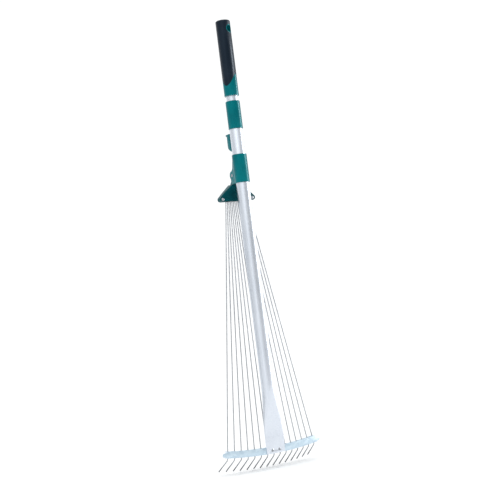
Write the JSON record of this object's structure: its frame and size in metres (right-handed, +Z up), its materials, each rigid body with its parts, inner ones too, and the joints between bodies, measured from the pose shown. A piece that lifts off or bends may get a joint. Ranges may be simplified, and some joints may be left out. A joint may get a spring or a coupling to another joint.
{
  "type": "adjustable leaf rake",
  "caption": "Leaf rake with spring-wire tines that fan out as a clamped head slides down the tube, on a telescopic handle with a twist lock and a soft grip.",
  "frame": {"origin": "middle of the hang hole through the grip, on the tubes' axis", "axes": "+Z up along the tubes towards the grip's top, +X to the right across the tine fan, +Y backwards to the side where the tines are"},
  "size_m": [0.234, 0.0722, 0.9351],
  "materials": {
    "teal_plastic": "satin moulded plastic",
    "dark_teal_plastic": "matt moulded plastic",
    "soft_rubber": "soft overmoulded rubber",
    "black_plastic": "plain moulded plastic",
    "aluminium_tube": "satin anodised",
    "zinc_sheet": "zinc-plated sheet",
    "rivet_steel": "bright",
    "spring_wire": "galvanised wire"
  },
  "bodies": {
    "handle": {"grip_core": "teal_plastic", "grip_rubber": "soft_rubber", "inner_tube": "aluminium_tube", "guide_plug": "black_plastic"},
    "shaft": {"outer_tube": "aluminium_tube", "lock_collet": "black_plastic", "spreader": "zinc_sheet", "spreader_rivets": "rivet_steel"},
    "lock_ring": {"lock_sleeve": "teal_plastic"},
    "head": {"collar": "teal_plastic", "brake_shoe": "black_plastic", "lever_pin": "rivet_steel", "holder_front": "dark_teal_plastic", "holder_back": "dark_teal_plastic", "holder_rivets": "rivet_steel", "holder_screw": "rivet_steel"},
    "lever": {"cam_lever": "teal_plastic"},
    "tine_01": {"tine_01": "spring_wire"},
    "tine_02": {"tine_02": "spring_wire"},
    "tine_03": {"tine_03": "spring_wire"},
    "tine_04": {"tine_04": "spring_wire"},
    "tine_05": {"tine_05": "spring_wire"},
    "tine_06": {"tine_06": "spring_wire"},
    "tine_07": {"tine_07": "spring_wire"},
    "tine_08": {"tine_08": "spring_wire"},
    "tine_09": {"tine_09": "spring_wire"},
    "tine_10": {"tine_10": "spring_wire"},
    "tine_11": {"tine_11": "spring_wire"},
    "tine_12": {"tine_12": "spring_wire"},
    "tine_13": {"tine_13": "spring_wire"},
    "tine_14": {"tine_14": "spring_wire"},
    "tine_15": {"tine_15": "spring_wire"}
  },
  "joints": [
    {"name": "handle_slide", "type": "slide", "parent": "handle", "child": "shaft", "axis": [0, 0, -1], "range_m": [0, 0.3]},
    {"name": "lock_twist", "type": "hinge", "parent": "shaft", "child": "lock_ring", "pos_m": [0, 0, -0.2104], "axis": [0, 0, 1], "range_deg": [0, 90]},
    {"name": "head_slide", "type": "slide", "parent": "shaft", "child": "head", "axis": [0, 0, -1], "range_m": [0, 0.23]},
    {"name": "clamp_lever", "type": "hinge", "parent": "head", "child": "lever", "pos_m": [0, 0.021, -0.3046], "axis": [-1, 0, 0], "range_deg": [0, 100]},
    {"name": "tine_01_pivot", "type": "hinge", "parent": "head", "child": "tine_01", "pos_m": [-0.024, 0.0364, -0.3515], "axis": [-0.2261, 0.9741, 0], "range_deg": [-0.5, 7.36]},
    {"name": "tine_02_pivot", "type": "hinge", "parent": "head", "child": "tine_02", "pos_m": [-0.02057, 0.0364, -0.3515], "axis": [-0.291, 0.9567, 0], "range_deg": [-0.5, 6.51]},
    {"name": "tine_03_pivot", "type": "hinge", "parent": "head", "child": "tine_03", "pos_m": [-0.01714, 0.0364, -0.3515], "axis": [-0.3704, 0.9289, 0], "range_deg": [-0.5, 5.67]},
    {"name": "tine_04_pivot", "type": "hinge", "parent": "head", "child": "tine_04", "pos_m": [-0.01371, 0.0364, -0.3515], "axis": [-0.4704, 0.8824, 0], "range_deg": [-0.5, 4.86]},
    {"name": "tine_05_pivot", "type": "hinge", "parent": "head", "child": "tine_05", "pos_m": [-0.01029, 0.0364, -0.3515], "axis": [-0.5983, 0.8013, 0], "range_deg": [-0.5, 4.11]},
    {"name": "tine_06_pivot", "type": "hinge", "parent": "head", "child": "tine_06", "pos_m": [-0.00686, 0.0364, -0.3515], "axis": [-0.757, 0.6534, 0], "range_deg": [-0.5, 3.46]},
    {"name": "tine_07_pivot", "type": "hinge", "parent": "head", "child": "tine_07", "pos_m": [-0.00343, 0.0364, -0.3515], "axis": [-0.9209, 0.3897, 0], "range_deg": [-0.5, 2.98]},
    {"name": "tine_08_pivot", "type": "hinge", "parent": "head", "child": "tine_08", "pos_m": [0, 0.0364, -0.3515], "axis": [-1, 0, 0], "range_deg": [-0.5, 2.8]},
    {"name": "tine_09_pivot", "type": "hinge", "parent": "head", "child": "tine_09", "pos_m": [0.00343, 0.0364, -0.3515], "axis": [-0.9209, -0.3897, 0], "range_deg": [-0.5, 2.98]},
    {"name": "tine_10_pivot", "type": "hinge", "parent": "head", "child": "tine_10", "pos_m": [0.00686, 0.0364, -0.3515], "axis": [-0.757, -0.6534, 0], "range_deg": [-0.5, 3.46]},
    {"name": "tine_11_pivot", "type": "hinge", "parent": "head", "child": "tine_11", "pos_m": [0.01029, 0.0364, -0.3515], "axis": [-0.5983, -0.8013, 0], "range_deg": [-0.5, 4.11]},
    {"name": "tine_12_pivot", "type": "hinge", "parent": "head", "child": "tine_12", "pos_m": [0.01371, 0.0364, -0.3515], "axis": [-0.4704, -0.8824, 0], "range_deg": [-0.5, 4.86]},
    {"name": "tine_13_pivot", "type": "hinge", "parent": "head", "child": "tine_13", "pos_m": [0.01714, 0.0364, -0.3515], "axis": [-0.3704, -0.9289, 0], "range_deg": [-0.5, 5.67]},
    {"name": "tine_14_pivot", "type": "hinge", "parent": "head", "child": "tine_14", "pos_m": [0.02057, 0.0364, -0.3515], "axis": [-0.291, -0.9567, 0], "range_deg": [-0.5, 6.51]},
    {"name": "tine_15_pivot", "type": "hinge", "parent": "head", "child": "tine_15", "pos_m": [0.024, 0.0364, -0.3515], "axis": [-0.2261, -0.9741, 0], "range_deg": [-0.5, 7.36]}
  ],
  "couplings": [
    {"joint": "tine_01_pivot", "follows": "head_slide", "rad_per_m": 0.52076},
    {"joint": "tine_02_pivot", "follows": "head_slide", "rad_per_m": 0.45599},
    {"joint": "tine_03_pivot", "follows": "head_slide", "rad_per_m": 0.39248},
    {"joint": "tine_04_pivot", "follows": "head_slide", "rad_per_m": 0.33123},
    {"joint": "tine_05_pivot", "follows": "head_slide", "rad_per_m": 0.27405},
    {"joint": "tine_06_pivot", "follows": "head_slide", "rad_per_m": 0.22431},
    {"joint": "tine_07_pivot", "follows": "head_slide", "rad_per_m": 0.18819},
    {"joint": "tine_08_pivot", "follows": "head_slide", "rad_per_m": 0.17448},
    {"joint": "tine_09_pivot", "follows": "head_slide", "rad_per_m": 0.18819},
    {"joint": "tine_10_pivot", "follows": "head_slide", "rad_per_m": 0.22431},
    {"joint": "tine_11_pivot", "follows": "head_slide", "rad_per_m": 0.27405},
    {"joint": "tine_12_pivot", "follows": "head_slide", "rad_per_m": 0.33123},
    {"joint": "tine_13_pivot", "follows": "head_slide", "rad_per_m": 0.39248},
    {"joint": "tine_14_pivot", "follows": "head_slide", "rad_per_m": 0.45599},
    {"joint": "tine_15_pivot", "follows": "head_slide", "rad_per_m": 0.52076}
  ]
}
